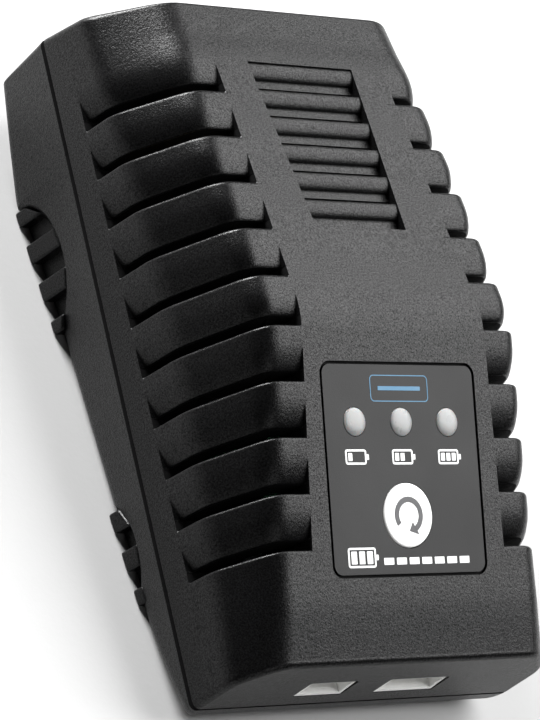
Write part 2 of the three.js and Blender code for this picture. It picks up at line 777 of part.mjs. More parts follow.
function chokeWinding(side) {
  const { x, y, width, height, depth, leg } = CHOKE;
  const low = DECK + 1.6 + leg + GAP;
  const high = DECK + 1.6 + height - leg - GAP;
  const centre = x + side * (width - leg) / 2;
  const outline = roundedOutline(rectangle(centre - 4.4, centre + 4.4, y - 4.4, y + 4.4), 2.2);
  return cut(
    upright(outline, low, high),
    centredBox(centre, y, leg + 2 * GAP, depth + 2 * GAP, 0, FAR),
  );
}

// One E-shaped half of the ferrite core; the two halves meet at mid height.
function coreHalf(upper) {
  const { x, y, width, depth, height, leg, side } = TRANSFORMER;
  const low = DECK + 1.2;
  const middle = low + height / 2;
  const window = (width - leg) / 2 - side;
  const windows = [-1, 1].map((step) => centredBox(
    x + step * (leg + window) / 2, y, window, depth + 2, low + side, low + height - side,
  ));
  const whole = cut(centredBox(x, y, width, depth, low, low + height), ...windows);
  return upper
    ? cut(whole, box(-FAR, FAR, -FAR, FAR, 0, middle + GAP / 2))
    : cut(whole, box(-FAR, FAR, -FAR, FAR, middle - GAP / 2, FAR));
}

function transformerSleeve(inner, outer, low, high) {
  const { x, y, leg, depth } = TRANSFORMER;
  return cut(
    centredBox(x, y, leg + 2 * outer, depth + 2 * outer, low, high),
    centredBox(x, y, leg + 2 * inner, depth + 2 * inner, low - 1, high + 1),
  );
}

function transformerBobbin() {
  const low = DECK + 1.2 + TRANSFORMER.side + GAP;
  const high = DECK + 1.2 + TRANSFORMER.height - TRANSFORMER.side - GAP;
  return join(
    transformerSleeve(GAP, 1.1, low, high),
    transformerSleeve(GAP, 5.5, low, low + 1),
    transformerSleeve(GAP, 5.5, high - 1, high),
  );
}

function transformerWinding() {
  const { x, y, leg, depth } = TRANSFORMER;
  const low = DECK + 1.2 + TRANSFORMER.side + GAP + 1 + GAP;
  const high = DECK + 1.2 + TRANSFORMER.height - TRANSFORMER.side - GAP - 1 - GAP;
  const reach = 5.1;
  const outline = roundedOutline(rectangle(
    x - leg / 2 - reach, x + leg / 2 + reach, y - depth / 2 - reach, y + depth / 2 + reach,
  ), 2);
  const core = 1.1 + GAP;
  return cut(
    upright(outline, low, high),
    centredBox(x, y, leg + 2 * core, depth + 2 * core, 0, FAR),
  );
}

function outputInductor(x, y) {
  return turned(x, y, [
    [0, DECK], [5, DECK], [5, DECK + 1.4], [4.3, DECK + 2], [4.3, DECK + 6.4],
    [5, DECK + 7], [5, DECK + 8.4], [0, DECK + 8.4],
  ], 20);
}

function chip(x, y, width, length, height) {
  return centredBox(x, y, width, length, DECK, DECK + height);
}

// ---------------------------------------------------------------- screws and labels

function caseScrew(boss) {
  const { x, y, meet } = boss;
  const top = meet + 7.5;
  const { shaft, head, headHeight } = SCREW;
  const seat = boss.seat - GAP;
  const screw = turned(x, y, [
    [0, seat - headHeight], [head - 0.3, seat - headHeight], [head, seat - headHeight + 0.4],
    [head, seat], [shaft, seat], [shaft, top - 1.5], [0, top],
  ], 12);
  const slots = [0, 1].map((turn) => (
    centredBox(0, 0, turn ? 3.4 : 0.8, turn ? 0.8 : 3.4, seat - headHeight - 1, seat - 1)
      .translate(x, y, 0)
  ));
  return cut(screw, ...slots);
}

function ratingLabel() {
  return upright(roundedOutline(rectangle(-18, 18, -26, -2), 1.2), 0.2, 0.5);
}

// ---------------------------------------------------------------- assembly

const group = new THREE.Group();
group.name = 'balance_battery_charger';

function addPiece(name, geometry, material) {
  const mesh = new THREE.Mesh(geometry, MATERIALS[material]);
  mesh.name = name;
  group.add(mesh);
}

const SIDES = [['left', -1], ['right', 1]];
const LAMPS = [['left', -1], ['middle', 0], ['right', 1]];
const CORNERS = ['back_right', 'back_left', 'front_right', 'front_left'];

addPiece('upper_shell', toRow(upperShell()), 'shell');
addPiece('lower_shell', toRow(lowerShell()), 'shell');
addPiece('label_overlay', labelOverlay(), 'overlay');
addPiece('rating_label', ratingLabel(), 'overlay');
addPiece('mode_button', modeButton(), 'white');
addPiece('switch_plunger', switchPlunger(), 'black');
addPiece('switch_body', switchBody(), 'black');

for (const [name, step] of LAMPS) {
  addPiece(`led_window_${name}`, ledWindow(step), 'milky');
  addPiece(`led_${name}`, led(step), 'clear');
}

addPiece('front_board', frontBoard(), 'circuitBoard');
addPiece('board_ribbon', boardRibbon(), 'white');
SIDES.forEach(([name, side], index) => {
  addPiece(`front_board_screw_${name}`, frontBoardScrew(FRONT_SCREWS[index]), 'steel');
  addPiece(`inlet_pin_${name}`, inletPin(side), 'tin');
  addPiece(`choke_winding_${name}`, chokeWinding(side), 'copper');
});

addPiece('main_board', mainBoard(), 'circuitBoard');
for (const socket of SOCKETS) {
  addPiece(socket.name, socketHousing(socket), 'nylon');
  pinPositions(socket).forEach((x, index) => {
    addPiece(`${socket.name}_pin_${index + 1}`, socketPin(x), 'tin');
  });
}

addPiece('mains_inlet_body', inletBody(), 'black');
addPiece('mains_fuse', can(-8.5, 31.5, 4.1, 8), 'brown');
addPiece('surge_varistor', disc(-18, 29, 5, 4, 7.5), 'blue');
addPiece('noise_capacitor', join(
  centredBox(-14.5, 21.5, 13, 6, DECK + 0.6, DECK + 12),
  ...leads(-14.5, 21.5, 10, DECK + 2),
), 'tape');
addPiece('choke_core', chokeCore(), 'ferrite');
addPiece('bridge_rectifier', join(
  centredBox(-19, 9, 3.8, 14, DECK + 3, DECK + 13),
  ...[-4.5, -1.5, 1.5, 4.5].map((step) => centredBox(-19, 9 + step, 0.7, 0.9, DECK, DECK + 4)),
), 'black');
addPiece('bulk_capacitor', can(18, 12.5, 6, 21), 'black');
addPiece('transformer_core_lower', coreHalf(false), 'ferrite');
addPiece('transformer_core_upper', coreHalf(true), 'ferrite');
addPiece('transformer_bobbin', transformerBobbin(), 'black');
addPiece('transformer_winding', transformerWinding(), 'tape');
addPiece('safety_capacitor', disc(20, -1.5, 3.4, 3, 5), 'blue');
addPiece('switching_transistor', powerTransistor(-18.2, -6.5, -1), 'black');
addPiece('primary_heatsink', heatsink(-22.4, -6.5, 13, 15), 'aluminium');
addPiece('output_rectifier', powerTransistor(18.2, -12.5, 1), 'black');
addPiece('output_heatsink', heatsink(22.4, -12.5, 12, 15), 'aluminium');
addPiece('output_capacitor_left', can(-14, -19, 4, 11.5), 'black');
addPiece('output_capacitor_right', can(-12.8, -28.4, 4, 11.5), 'black');
addPiece('output_inductor', outputInductor(16, -25), 'copper');
addPiece('feedback_optocoupler', chip(4, -13.5, 4.6, 6.5, 3.5), 'black');
addPiece('charge_controller', chip(0, -30.5, 7, 7, 1.2), 'black');
addPiece('balance_transistor_left', chip(-9, -38, 5, 4, 1.4), 'black');
addPiece('balance_transistor_right', chip(7, -38, 5, 4, 1.4), 'black');
BOSSES.forEach((boss, index) => {
  addPiece(`case_screw_${CORNERS[index]}`, caseScrew(boss), 'steel');
});

export default group;
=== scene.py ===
"""Balance battery charger: the looks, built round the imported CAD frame.

The case is drawn in millimetres in the parting frame, whose XY plane is the plane between
the two half shells, and is then tilted into the row frame and scaled to metres.
"""

import json
import math

import bmesh
import bpy
import numpy as np
from mathutils import Matrix, Vector


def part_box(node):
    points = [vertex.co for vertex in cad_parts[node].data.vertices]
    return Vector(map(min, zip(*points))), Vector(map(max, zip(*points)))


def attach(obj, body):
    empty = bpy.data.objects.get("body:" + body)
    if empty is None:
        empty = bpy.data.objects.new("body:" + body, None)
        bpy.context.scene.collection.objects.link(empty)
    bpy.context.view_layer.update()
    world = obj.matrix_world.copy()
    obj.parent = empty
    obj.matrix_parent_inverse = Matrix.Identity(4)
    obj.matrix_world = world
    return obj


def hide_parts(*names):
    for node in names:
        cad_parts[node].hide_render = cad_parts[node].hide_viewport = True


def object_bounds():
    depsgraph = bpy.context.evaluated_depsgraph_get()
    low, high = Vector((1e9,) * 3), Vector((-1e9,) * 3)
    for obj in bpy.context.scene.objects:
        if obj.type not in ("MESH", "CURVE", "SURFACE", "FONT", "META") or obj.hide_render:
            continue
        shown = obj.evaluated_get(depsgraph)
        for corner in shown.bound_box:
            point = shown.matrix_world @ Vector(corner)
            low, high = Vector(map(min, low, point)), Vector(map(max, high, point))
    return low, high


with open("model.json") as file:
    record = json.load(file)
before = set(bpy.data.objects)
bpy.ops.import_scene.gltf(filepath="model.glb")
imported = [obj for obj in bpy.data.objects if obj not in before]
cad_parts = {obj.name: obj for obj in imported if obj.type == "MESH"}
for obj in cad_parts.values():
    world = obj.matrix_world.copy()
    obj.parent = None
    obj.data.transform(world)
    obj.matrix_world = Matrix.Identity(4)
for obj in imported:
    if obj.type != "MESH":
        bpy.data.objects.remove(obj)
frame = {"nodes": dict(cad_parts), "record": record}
CAD_LOW, CAD_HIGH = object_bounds()

# ---------------------------------------------------------------- dimensions, in mm

# The parting plane tilts down to the front; its origin lies this high over the base, and is
# shifted along Y to centre the case.
PARTING_TILT = math.radians(8)
PARTING_LIFT = 13.2
BALANCE_SHIFT = -0.628

HALF_WIDTH = 30.745
FRONT_END, BACK_END = 52.0, 53.0
WALL = 2.0
PARTING_GAP = 0.85
RIDGE_Y, RIDGE_Z, RIDGE_SOFTNESS = -1.5, 27.64, 1.2
FRONT_SLOPE = math.radians(14.25)
BACK_SLOPE = math.radians(9.05)

# How far the end walls lean inwards, per mm of height, and where along Y the lean starts and
# over what length it comes in.
FRONT_LEAN, BACK_LEAN, LOWER_BACK_LEAN = 0.0908, 0.095, -0.069
LEAN_START, LEAN_RUN = 41, 9

# How far the lower side wall draws in, per mm down; it changes between two places along Y.
SIDE_TAPER, SIDE_TAPER_BACK = 0.22, 0.115
TAPER_CHANGE = (20, 33)

# The radius where the end walls meet the side walls, and where they meet the top.
CORNER_RADIUS = 1.2
EDGE_FRONT, EDGE_BACK = 1.1, 0.6
LEAST_RADIUS = 0.3

# The underside's bevels: where each starts, and where it ends in the parting frame (y, z).
FRONT_BEVEL_START, FRONT_BEVEL_END = -38.0, (-52.0, -3.4)
BACK_BEVEL_START, BACK_BEVEL_END = 33.0, (52.0, -14.4)

# The half width at the top of the section, against y.
TOP_PLACES, TOP_HALF_WIDTHS = (-52, 25, 52), (24.9, 23.5, 20.8)

# The side walls draw in a little at the notches' low end and at the shoulder below the bevel.
DRAFT_LOW, DRAFT_SHOULDER = 0.12, 0.3
SHOULDER_Z, SHOULDER_RISE = 3.9, 0.35

# How far the section's rounding reaches along each side of its shoulder and its corners.
SHOULDER_REACH = (1.8, 2.2)
CORNER_REACH = (3.4, 2.4)
LOWER_CORNER_REACH = 2.1

# The rows of points along the case run between these places; the end rounding is past them.
ROWS_BACK, ROWS_FRONT = 47.5, -47.6

# A short step that keeps a column of points next to each edge of the notches.
STEP = 0.05

NOTCHES, NOTCH_FIRST, NOTCH_PITCH = 10, 35.5, 7.8
NOTCH_LAST = NOTCH_FIRST - NOTCH_PITCH * (NOTCHES - 1)
NOTCH_LOW = 5.4
NOTCH_INNER_BACK, NOTCH_INNER_FRONT = 16.6, 18.6
NOTCH_BACK_REACH, NOTCH_FRONT_REACH = 7.0, 0.6
SLOT_WIDTH = 1.5
SLOT_LIP = 2.6
SLOT_DEPTH = WALL + SLOT_LIP

LABEL_TOP, LABEL_BOTTOM, LABEL_HALF, LABEL_CORNER = 7.2, 38.5, 15.0, 1.9
LABEL_RECESS = 0.6
LABEL_GAP = 0.45
LED_DISTANCE, LED_SPACING, LED_RADIUS = 16.0, 8.97, 2.12
BUTTON_DISTANCE, BUTTON_RADIUS, BUTTON_HOLE = 29.6, 4.7, 5.0
BUTTON_PROUD, BUTTON_EDGE = 0.2, 0.35
INK_THICKNESS = 0.03

VENT_NEAR, VENT_FAR, VENT_HALF_NEAR, VENT_HALF_FAR, VENT_SLATS = 14.5, 43.2, 8.8, 10.2, 6

# Grips: span along Y, crown height, rib face, recess floor and the ribs' places along Y.
GRIPS = [
    {
        "span": (10.6, 32.6), "crown": -8.6, "rib": 28.8, "floor": 26.9,
        "ribs": (11.8, 18.3, 24.8, 31.2),
    },
    {
        "span": (-34.2, -17.4), "crown": -5.8, "rib": 29.5, "floor": 27.7,
        "ribs": (-32.7, -26.6, -20.4),
    },
]
RIB_WIDTH = 3.2
RIB_LEAST_HEIGHT = 2.4
ARCH_FOOT = 1.5

SCREW_HOLE_RADIUS = 3.3
UNDERSIDE_VENTS = (6, 10, 14, 18)
CASE_SCREWS = [
    f"case_screw_{end}_{side}" for end in ("front", "back") for side in ("left", "right")
]

MM = 0.001

PARTING_TO_ROW = (
    Matrix.Scale(MM, 4)
    @ Matrix.Translation((0, BALANCE_SHIFT, PARTING_LIFT))
    @ Matrix.Rotation(PARTING_TILT, 4, "X")
)
RIDGE = Matrix.Translation((0, RIDGE_Y, RIDGE_Z))
FRONT_TO_PARTING = RIDGE @ Matrix.Rotation(FRONT_SLOPE, 4, "X")
BACK_TO_PARTING = RIDGE @ Matrix.Rotation(-BACK_SLOPE, 4, "X")
FRONT_TO_ROW = PARTING_TO_ROW @ FRONT_TO_PARTING
ROW_MM = Matrix.Scale(MM, 4)

# The floor board's two tones, nearly the same.
FLOOR_DARK, FLOOR_LIGHT = (0.42, 0.42, 0.42), (0.44, 0.44, 0.44)


# ---------------------------------------------------------------- node materials

class Nodes:
    """A short way to write a material's node tree."""

    def __init__(self, name):
        self.material = bpy.data.materials.new(name)
        self.material.use_nodes = True
        self.tree = self.material.node_tree
        self.shader = self.tree.nodes["Principled BSDF"]
        self.place = self.tree.nodes.new("ShaderNodeTexCoord").outputs["Object"]

    def add(self, kind, inputs=None, **settings):
        node = self.tree.nodes.new(kind)
        for name, value in settings.items():
            setattr(node, name, value)
        for name, value in (inputs or {}).items():
            self.set(node.inputs[name], value)
        return node

    def set(self, socket, value):
        if isinstance(value, bpy.types.NodeSocket):
            self.tree.links.new(value, socket)
        else:
            socket.default_value = value

    def noise(self, scale, detail=4.0, roughness=0.55, stretch=(1, 1, 1)):
        mapping = self.add("ShaderNodeMapping", {"Vector": self.place, "Scale": stretch})
        return self.add("ShaderNodeTexNoise", {
            "Vector": mapping.outputs["Vector"], "Scale": scale,
            "Detail": detail, "Roughness": roughness,
        }).outputs["Fac"]

    def ramp(self, factor, low, high, dark, light):
        node = self.add("ShaderNodeMapRange", {
            "Value": factor, "From Min": low, "From Max": high, "To Min": dark, "To Max": light,
        })
        return node.outputs["Result"]

    def blend(self, factor, first, second):
        node = self.add("ShaderNodeMix", data_type="RGBA")
        self.set(node.inputs["Factor"], factor)
        self.set(node.inputs[6], (*first, 1))
        self.set(node.inputs[7], (*second, 1))
        return node.outputs[2]

    def bump(self, height, distance, strength=1.0, normal=None):
        inputs = {"Height": height, "Distance": distance, "Strength": strength}
        if normal is not None:
            inputs["Normal"] = normal
        return self.add("ShaderNodeBump", inputs).outputs["Normal"]

    def finish(self, **sockets):
        for name, value in sockets.items():
            self.set(self.shader.inputs[name.replace("_", " ")], value)
        return self.material


def moulded(name, dark, light, roughness, grain=0.00002, grain_scale=9000, specular=0.5):
    """Moulded plastic: fine grain, faint flow marks, and a slightly uneven gloss."""
    nodes = Nodes(name)
    flow = nodes.noise(45, 3)
    fine = nodes.noise(grain_scale, 2, 0.6)
    mottle = nodes.noise(1400, 2)
    tone = nodes.add("ShaderNodeMath", {0: flow, 1: mottle}, operation="ADD").outputs[0]
    colour = nodes.blend(nodes.ramp(tone, 0.75, 1.25, 0, 1), dark, light)
    gloss = nodes.ramp(mottle, 0.3, 0.7, roughness - 0.05, roughness + 0.05)
    return nodes.finish(
        Base_Color=colour, Roughness=gloss, Specular_IOR_Level=specular,
        Normal=nodes.bump(fine, grain),
    )


def metal(name, dark, light, roughness, stretch=(1, 1, 1)):
    """Bare or plated metal with fine drawing lines and dull patches."""
    nodes = Nodes(name)
    lines = nodes.noise(2500, 3, 0.6, stretch)
    patches = nodes.noise(180, 4)
    colour = nodes.blend(nodes.ramp(patches, 0.35, 0.65, 0, 1), dark, light)
    gloss = nodes.ramp(lines, 0.3, 0.7, roughness - 0.08, roughness + 0.1)
    return nodes.finish(
        Base_Color=colour, Metallic=1.0, Roughness=gloss, Normal=nodes.bump(lines, 0.00001),
    )


def case_plastic():
    """Black ABS from a spark-eroded mould: a dense fine grain over faint broad mottling."""
    nodes = Nodes("case_plastic")
    broad = nodes.noise(60, 3)
    grain = nodes.noise(4200, 3, 0.65)
    coarse = nodes.noise(1700, 2, 0.5)
    colour = nodes.blend(
        nodes.ramp(grain, 0.35, 0.65, 0, 1), (0.002, 0.002, 0.0021), (0.004, 0.004, 0.0042),
    )
    gloss = nodes.ramp(broad, 0.3, 0.7, 0.29, 0.33)
    first = nodes.bump(coarse, 0.00003)
    return nodes.finish(
        Base_Color=colour, Roughness=gloss,
        Specular_IOR_Level=nodes.ramp(grain, 0.35, 0.65, 0.06, 0.27),
        Normal=nodes.bump(grain, 0.00005, 1.0, first),
    )


def case_inside():
    """The same plastic inside the case, left dull by the mould."""
    nodes = Nodes("case_inside")
    broad = nodes.noise(300, 3)
    grain = nodes.noise(2600, 2)
    colour = nodes.blend(broad, (0.0025, 0.0025, 0.0026), (0.004, 0.004, 0.0042))
    return nodes.finish(
        Base_Color=colour, Roughness=nodes.ramp(broad, 0.3, 0.7, 0.65, 0.8),
        Specular_IOR_Level=0.08, Normal=nodes.bump(grain, 0.00004),
    )


def label_film():
    """Satin printed film: nearly smooth, with a faint leather of fine pits."""
    nodes = Nodes("label_film")
    haze = nodes.noise(70, 3)
    pits = nodes.noise(5200, 2, 0.5)
    colour = nodes.blend(haze, (0.003, 0.003, 0.0032), (0.0045, 0.0045, 0.0047))
    return nodes.finish(
        Base_Color=colour, Roughness=nodes.ramp(haze, 0.3, 0.7, 0.4, 0.46),
        Specular_IOR_Level=0.19, Normal=nodes.bump(pits, 0.000012),
    )


def milky_plastic():
    """Light guide: milky, with light scattered just under the surface."""
    nodes = Nodes("milky_plastic")
    haze = nodes.noise(600, 3)
    colour = nodes.blend(haze, (0.19, 0.193, 0.193), (0.25, 0.253, 0.253))
    return nodes.finish(
        Base_Color=colour, Roughness=nodes.ramp(haze, 0.3, 0.7, 0.25, 0.36),
        Subsurface_Weight=0.25, Subsurface_Scale=0.0008, Normal=nodes.bump(haze, 0.00002),
    )


def printed_ink(name, dark, light):
    """Screen-printed ink: flat colour with a faint uneven lay-down."""
    nodes = Nodes(name)
    lay = nodes.noise(2200, 3)
    return nodes.finish(
        Base_Color=nodes.blend(lay, dark, light), Roughness=nodes.ramp(lay, 0.3, 0.7, 0.42, 0.55),
        Normal=nodes.bump(lay, 0.000008),
    )


def circuit_board():
    """Green solder mask over a faint pattern of tracks."""
    nodes = Nodes("circuit_board")
    mapping = nodes.add("ShaderNodeMapping", {"Vector": nodes.place, "Scale": (1, 1, 0.01)})
    tracks = nodes.add("ShaderNodeTexVoronoi", {
        "Vector": mapping.outputs["Vector"], "Scale": 380.0,
    }, distance="MANHATTAN")
    lines = nodes.ramp(tracks.outputs["Distance"], 0.3, 0.36, 0, 1)
    colour = nodes.blend(lines, (0.012, 0.085, 0.035), (0.02, 0.14, 0.06))
    return nodes.finish(
        Base_Color=colour, Roughness=nodes.ramp(lines, 0, 1, 0.42, 0.32),
        Normal=nodes.bump(lines, 0.00003),
    )


def copper_wire():
    """Enamelled copper, wound in close turns."""
    nodes = Nodes("copper_wire")
    mapping = nodes.add("ShaderNodeMapping", {"Vector": nodes.place, "Scale": (0.02, 0.02, 1)})
    turns = nodes.add("ShaderNodeTexWave", {
        "Vector": mapping.outputs["Vector"], "Scale": 260.0, "Distortion": 0.3,
    }, bands_direction="Z").outputs["Fac"]
    colour = nodes.blend(turns, (0.2, 0.06, 0.025), (0.5, 0.19, 0.08))
    return nodes.finish(
        Base_Color=colour, Metallic=0.8, Roughness=nodes.ramp(turns, 0, 1, 0.4, 0.28),
        Normal=nodes.bump(turns, 0.0002),
    )


def floor_material():
    """A plain pale board: one even tone, with a faint tooth."""
    nodes = Nodes("floor_board")
    tooth = nodes.noise(900, 3)
    broad = nodes.noise(3, 2)
    return nodes.finish(
        Base_Color=nodes.blend(broad, FLOOR_DARK, FLOOR_LIGHT), Roughness=0.85,
        Specular_IOR_Level=0.0, Normal=nodes.bump(tooth, 0.00002),
    )


def make_materials():
    finishes = {
        "shell_plastic": case_plastic(),
        "case_inside": case_inside(),
        "label_film": label_film(),
        "white_key": moulded("white_key", (0.8, 0.8, 0.79), (0.87, 0.87, 0.86), 0.38, 0.000006),
        "black_plastic": moulded("black_plastic", (0.014, 0.014, 0.015), (0.024, 0.024, 0.026), 0.45),
        "milky_plastic": milky_plastic(),
        "nylon": moulded("nylon", (0.84, 0.84, 0.82), (0.9, 0.9, 0.88), 0.35, 0.000008),
        "clear_plastic": moulded("clear_plastic", (0.6, 0.68, 0.64), (0.7, 0.78, 0.74), 0.2, 0.000004),
        "circuit_board": circuit_board(),
        "ribbon": moulded("ribbon", (0.6, 0.6, 0.58), (0.72, 0.72, 0.7), 0.42, 0.00002, 1500),
        "steel": metal("steel", (0.42, 0.43, 0.44), (0.62, 0.63, 0.64), 0.34),
        "tin": metal("tin", (0.52, 0.5, 0.45), (0.7, 0.68, 0.62), 0.28, (1, 0.1, 1)),
        "aluminium": metal("aluminium", (0.5, 0.51, 0.52), (0.66, 0.67, 0.68), 0.38, (0.1, 1, 1)),
        "ferrite": moulded("ferrite", (0.03, 0.03, 0.031), (0.06, 0.06, 0.062), 0.5, 0.00004, 2600),
        "copper": copper_wire(),
        "yellow_tape": moulded("yellow_tape", (0.5, 0.33, 0.04), (0.66, 0.47, 0.08), 0.34),
        "blue_epoxy": moulded("blue_epoxy", (0.02, 0.06, 0.26), (0.04, 0.1, 0.36), 0.25),
        "brown_plastic": moulded("brown_plastic", (0.07, 0.03, 0.016), (0.12, 0.055, 0.03), 0.35),
    }
    finishes["white_ink"] = printed_ink("white_ink", (0.75, 0.75, 0.75), (0.84, 0.84, 0.84))
    finishes["blue_ink"] = printed_ink("blue_ink", (0.02, 0.13, 0.24), (0.026, 0.16, 0.29))
    finishes["dark_ink"] = printed_ink("dark_ink", (0.02, 0.02, 0.022), (0.035, 0.035, 0.04))
    return finishes


# ---------------------------------------------------------------- mesh helpers

def add_object(name, mesh, materials, sharp=35):
    """A shaded object from a mesh in metres, in the row frame."""
    finishes = [face.material_index for face in mesh.polygons]
    mesh.materials.clear()
    for material in materials if isinstance(materials, list) else [materials]:
        mesh.materials.append(material)
    mesh.polygons.foreach_set("material_index", finishes)
    mesh.polygons.foreach_set("use_smooth", [True] * len(mesh.polygons))
    mesh.set_sharp_from_angle(angle=math.radians(sharp))
    obj = bpy.data.objects.new(name, mesh)
    bpy.context.collection.objects.link(obj)
    return obj


def piece(name, mesh, material, body, replaced=(), sharp=35):
    """An object that belongs to the charger, riding on one of its bodies."""
    obj = add_object(name, mesh, material, sharp)
    obj.modifiers.new("normals", "WEIGHTED_NORMAL").keep_sharp = True
    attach(obj, body)
    if replaced:
        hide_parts(*replaced)
    return obj


def mesh_from(points, faces, transform, finishes=None):
    """A mesh from numpy or list points in mm and a transform to metres.

    The finishes are the faces' places in the list of materials the object will get.
    """
    mesh = bpy.data.meshes.new("part")
    mesh.from_pydata([tuple(p) for p in np.asarray(points).reshape(-1, 3).tolist()], [], faces)
    if finishes:
        mesh.materials.append(None)
        mesh.materials.append(None)
        mesh.polygons.foreach_set("material_index", finishes)
    mesh.transform(transform)
    mesh.validate()
    return mesh


def sewn(mesh, distance=2e-7):
    """The mesh with doubled points merged and its faces turned outward."""
    work = bmesh.new()
    work.from_mesh(mesh)
    bmesh.ops.remove_doubles(work, verts=work.verts, dist=distance)
    bmesh.ops.recalc_face_normals(work, faces=work.faces)
    if work.calc_volume(signed=True) < 0:
        bmesh.ops.reverse_faces(work, faces=work.faces)
    work.to_mesh(mesh)
    work.free()
    return mesh


def joined(meshes):
    """Several meshes as one."""
    work = bmesh.new()
    for mesh in meshes:
        work.from_mesh(mesh)
    result = bpy.data.meshes.new("joined")
    work.to_mesh(result)
    work.free()
    return result


def with_modifier(mesh, kind, **settings):
    """The mesh with one modifier applied."""
    obj = bpy.data.objects.new("work", mesh)
    bpy.context.collection.objects.link(obj)
    modifier = obj.modifiers.new("work", kind)
    for name, value in settings.items():
        setattr(modifier, name, value)
    graph = bpy.context.evaluated_depsgraph_get()
    result = bpy.data.meshes.new_from_object(obj.evaluated_get(graph))
    bpy.data.objects.remove(obj)
    return result


def cut(mesh, cutters, finish=0):
    """The mesh less each of the cutter meshes, which don't overlap each other.

    The cut faces get the given place in the list of materials.
    """
    blade = joined(cutters)
    blade.materials.append(None)
    blade.materials.append(None)
    blade.polygons.foreach_set("material_index", [finish] * len(blade.polygons))
    tool = bpy.data.objects.new("tool", blade)
    bpy.context.collection.objects.link(tool)
    result = with_modifier(mesh, "BOOLEAN", object=tool, operation="DIFFERENCE", solver="MANIFOLD")
    bpy.data.objects.remove(tool)
    return result


def bevelled(mesh, width, segments=2, angle=30):
    """The mesh with its sharp edges rounded; width is in mm."""
    return with_modifier(
        mesh, "BEVEL", width=width * MM, segments=segments, limit_method="ANGLE",
        angle_limit=math.radians(angle), use_clamp_overlap=True,
    )


def prism(outline, low, high, transform):
    """A prism over an outline of (x, y) points, between two heights."""
    count = len(outline)
    points = [(x, y, z) for z in (low, high) for x, y in outline]
    faces = [tuple(range(count))[::-1], tuple(range(count, 2 * count))]
    faces += [(i, (i + 1) % count, count + (i + 1) % count, count + i) for i in range(count)]
    return sewn(mesh_from(points, faces, transform))


def stack(rings, transform):
    """A closed body through rings of points with equal counts, capped at both ends."""
    count = len(rings[0])
    points = [p for ring in rings for p in ring]
    faces = [tuple(range(count))[::-1], tuple(range(len(points) - count, len(points)))]
    for row in range(len(rings) - 1):
        for i in range(count):
            a, b = row * count + i, row * count + (i + 1) % count
            faces.append((a, b, b + count, a + count))
    return sewn(mesh_from(points, faces, transform))


def lathe(profile, segments, transform, x=0.0, y=0.0):
    """A solid of revolution about Z; the profile's (radius, z) points start and end at radius 0."""
    rings = [
        [(x + r * math.cos(a), y + r * math.sin(a), z)
         for a in (2 * math.pi * i / segments for i in range(segments))]
        for r, z in profile[1:-1]
    ]
    return stack(rings, transform)


def rounded_rectangle(half_x, half_y, radius, x=0.0, y=0.0, steps=6):
    """Outline points, anticlockwise."""
    outline = []
    for quarter, (sx, sy) in enumerate([(1, 1), (-1, 1), (-1, -1), (1, -1)]):
        for step in range(steps + 1):
            angle = math.pi / 2 * (quarter + step / steps)
            outline.append((
                x + sx * (half_x - radius) + radius * math.cos(angle),
                y + sy * (half_y - radius) + radius * math.sin(angle),
            ))
    return outline


def circle(radius, x=0.0, y=0.0, segments=48):
    return [
        (x + radius * math.cos(a), y + radius * math.sin(a))
        for a in (2 * math.pi * i / segments for i in range(segments))
    ]


# ---------------------------------------------------------------- case surfaces

def soft_min(a, b, softness):
    """The lower of two heights, with the crease between them rounded."""
    blend = np.clip(0.5 + 0.5 * (b - a) / softness, 0, 1)
    return b * (1 - blend) + a * blend - softness * blend * (1 - blend)


def smooth_step(t):
    t = np.clip(t, 0, 1)
    return t * t * (3 - 2 * t)


def top_height(y):
    """The top's height: two slopes that meet in a soft ridge."""
    front = RIDGE_Z + (y - RIDGE_Y) * math.tan(FRONT_SLOPE)
    back = RIDGE_Z - (y - RIDGE_Y) * math.tan(BACK_SLOPE)
    return soft_min(front, back, RIDGE_SOFTNESS)


def top_half_width(y):
    return np.interp(y, TOP_PLACES, TOP_HALF_WIDTHS)


def flat_base(y):
    """The height of the plane that the charger stands on."""
    return -(PARTING_LIFT + y * math.sin(PARTING_TILT)) / math.cos(PARTING_TILT)


def base_bevel(y, start, end):
    """The height of a plane that leaves the flat base at start and passes the end point."""
    end_y, end_z = end
    return flat_base(start) + (y - start) * (end_z - flat_base(start)) / (end_y - start)


def base_height(y):
    """The underside's height: a flat base, bevelled up towards both ends."""
    front = base_bevel(y, FRONT_BEVEL_START, FRONT_BEVEL_END)
    back = base_bevel(y, BACK_BEVEL_START, BACK_BEVEL_END)
    return -soft_min(-flat_base(y), soft_min(-front, -back, 0.01), 0.5)


def bezier(a, corner, b, t):
    """Points on a quadratic curve; a, corner and b hold one (x, z) pair for each row."""
    t = np.asarray(t)[None, :, None]
    a, corner, b = (p[:, None, :] for p in (a, corner, b))
    return (1 - t) ** 2 * a + 2 * t * (1 - t) * corner + t ** 2 * b


def straight(a, b, t):
    t = np.asarray(t)[None, :, None]
    return a[:, None, :] * (1 - t) + b[:, None, :] * t


def towards(start, end, distance):
    """Points that far from start on the way to end, one for each row."""
    way = end - start
    return start + way / np.linalg.norm(way, axis=1, keepdims=True) * distance


def pairs(x, z):
    """(x, z) pairs, one for each row."""
    return np.stack(np.broadcast_arrays(np.asarray(x, float), np.asarray(z, float)), axis=-1)


